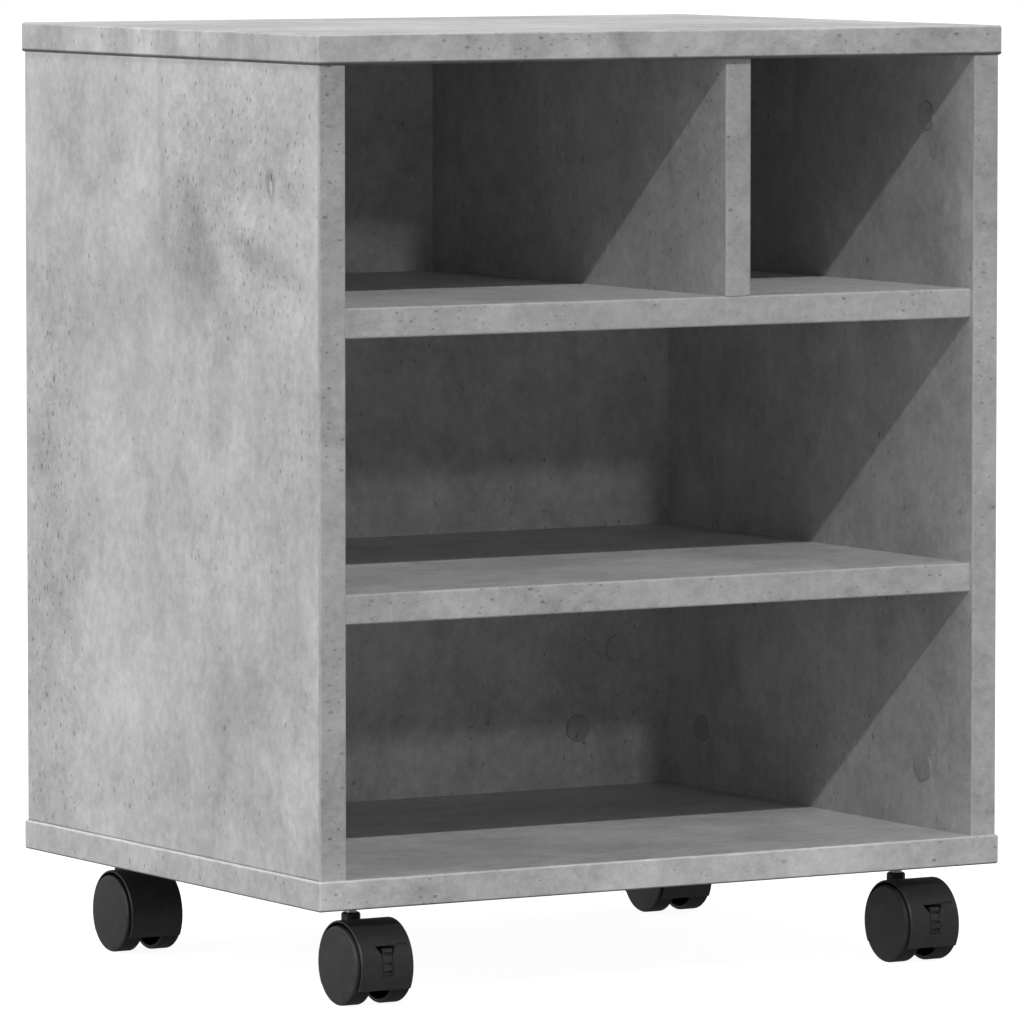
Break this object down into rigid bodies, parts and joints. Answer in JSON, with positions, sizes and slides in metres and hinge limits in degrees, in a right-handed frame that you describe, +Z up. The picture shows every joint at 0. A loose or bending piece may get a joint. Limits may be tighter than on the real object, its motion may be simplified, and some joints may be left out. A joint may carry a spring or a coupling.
{
  "type": "mobile printer stand",
  "caption": "Low open cabinet in concrete-look board with full-width bays, a divided top bay and a flat top, on swivelling twin-wheel casters, the front ones with brakes.",
  "frame": {"origin": "on the floor, under the middle of the stand", "axes": "+Z up, +Y to the back, the open front faces -Y, +X to the right of someone facing the front"},
  "size_m": [0.4, 0.3141, 0.48],
  "materials": {
    "concrete_board": "concrete decor melamine on chipboard, satin",
    "edge_band": "concrete decor plastic edge band, satin",
    "cam_cover": "concrete decor plastic cover, satin",
    "zinc": "die-cast zinc, dull",
    "bright_steel": "zinc-plated steel",
    "dowel_wood": "plain beech",
    "black_nylon": "moulded black nylon, satin",
    "wheel_nylon": "moulded black nylon, semi-gloss"
  },
  "bodies": {
    "cabinet": {"back_panel": "concrete_board", "bottom_panel": "concrete_board", "bottom_panel_edge_bands": "edge_band", "cam_bolts": "bright_steel", "cam_covers": "cam_cover", "cam_locks": "zinc", "caster_inserts": "bright_steel", "divider": "concrete_board", "divider_edge_band": "edge_band", "divider_screws": "bright_steel", "left_side_panel": "concrete_board", "left_side_panel_edge_bands": "edge_band", "middle_shelf": "concrete_board", "middle_shelf_edge_band": "edge_band", "right_side_panel": "concrete_board", "right_side_panel_edge_bands": "edge_band", "top_panel": "concrete_board", "top_panel_edge_bands": "edge_band", "upper_shelf": "concrete_board", "upper_shelf_edge_band": "edge_band", "wood_dowels": "dowel_wood", "front_left_stem": "bright_steel", "front_left_stem_ring": "bright_steel", "front_right_stem": "bright_steel", "front_right_stem_ring": "bright_steel", "rear_left_stem": "bright_steel", "rear_left_stem_ring": "bright_steel", "rear_right_stem": "bright_steel", "rear_right_stem_ring": "bright_steel"},
    "front_left_swivel": {"front_left_hood": "black_nylon", "front_left_axle": "bright_steel", "front_left_brake_pin": "bright_steel"},
    "front_left_wheel_left": {"front_left_wheel_left": "wheel_nylon"},
    "front_left_wheel_right": {"front_left_wheel_right": "wheel_nylon"},
    "front_left_brake": {"front_left_brake_pedal": "black_nylon"},
    "front_right_swivel": {"front_right_hood": "black_nylon", "front_right_axle": "bright_steel", "front_right_brake_pin": "bright_steel"},
    "front_right_wheel_left": {"front_right_wheel_left": "wheel_nylon"},
    "front_right_wheel_right": {"front_right_wheel_right": "wheel_nylon"},
    "front_right_brake": {"front_right_brake_pedal": "black_nylon"},
    "rear_left_swivel": {"rear_left_hood": "black_nylon", "rear_left_axle": "bright_steel"},
    "rear_left_wheel_left": {"rear_left_wheel_left": "wheel_nylon"},
    "rear_left_wheel_right": {"rear_left_wheel_right": "wheel_nylon"},
    "rear_right_swivel": {"rear_right_hood": "black_nylon", "rear_right_axle": "bright_steel"},
    "rear_right_wheel_left": {"rear_right_wheel_left": "wheel_nylon"},
    "rear_right_wheel_right": {"rear_right_wheel_right": "wheel_nylon"}
  },
  "joints": [
    {"name": "front_left_swivel", "type": "hinge", "parent": "cabinet", "child": "front_left_swivel", "pos_m": [-0.1613, -0.1198, 0.04], "axis": [0, 0, 1], "continuous": true},
    {"name": "front_left_wheel_left_spin", "type": "hinge", "parent": "front_left_swivel", "child": "front_left_wheel_left", "pos_m": [-0.1613, -0.1348, 0.02], "axis": [1, 0, 0], "continuous": true},
    {"name": "front_left_wheel_right_spin", "type": "hinge", "parent": "front_left_swivel", "child": "front_left_wheel_right", "pos_m": [-0.1613, -0.1348, 0.02], "axis": [1, 0, 0], "continuous": true},
    {"name": "front_left_brake", "type": "hinge", "parent": "front_left_swivel", "child": "front_left_brake", "pos_m": [-0.1613, -0.1514, 0.018], "axis": [-1, 0, 0], "range_deg": [0, 11]},
    {"name": "front_right_swivel", "type": "hinge", "parent": "cabinet", "child": "front_right_swivel", "pos_m": [0.1613, -0.1198, 0.04], "axis": [0, 0, 1], "continuous": true},
    {"name": "front_right_wheel_left_spin", "type": "hinge", "parent": "front_right_swivel", "child": "front_right_wheel_left", "pos_m": [0.1613, -0.1348, 0.02], "axis": [1, 0, 0], "continuous": true},
    {"name": "front_right_wheel_right_spin", "type": "hinge", "parent": "front_right_swivel", "child": "front_right_wheel_right", "pos_m": [0.1613, -0.1348, 0.02], "axis": [1, 0, 0], "continuous": true},
    {"name": "front_right_brake", "type": "hinge", "parent": "front_right_swivel", "child": "front_right_brake", "pos_m": [0.1613, -0.1514, 0.018], "axis": [-1, 0, 0], "range_deg": [0, 11]},
    {"name": "rear_left_swivel", "type": "hinge", "parent": "cabinet", "child": "rear_left_swivel", "pos_m": [-0.1613, 0.1198, 0.04], "axis": [0, 0, 1], "continuous": true},
    {"name": "rear_left_wheel_left_spin", "type": "hinge", "parent": "rear_left_swivel", "child": "rear_left_wheel_left", "pos_m": [-0.1613, 0.1048, 0.02], "axis": [1, 0, 0], "continuous": true},
    {"name": "rear_left_wheel_right_spin", "type": "hinge", "parent": "rear_left_swivel", "child": "rear_left_wheel_right", "pos_m": [-0.1613, 0.1048, 0.02], "axis": [1, 0, 0], "continuous": true},
    {"name": "rear_right_swivel", "type": "hinge", "parent": "cabinet", "child": "rear_right_swivel", "pos_m": [0.1613, 0.1198, 0.04], "axis": [0, 0, 1], "continuous": true},
    {"name": "rear_right_wheel_left_spin", "type": "hinge", "parent": "rear_right_swivel", "child": "rear_right_wheel_left", "pos_m": [0.1613, 0.1048, 0.02], "axis": [1, 0, 0], "continuous": true},
    {"name": "rear_right_wheel_right_spin", "type": "hinge", "parent": "rear_right_swivel", "child": "rear_right_wheel_right", "pos_m": [0.1613, 0.1048, 0.02], "axis": [1, 0, 0], "continuous": true}
  ]
}
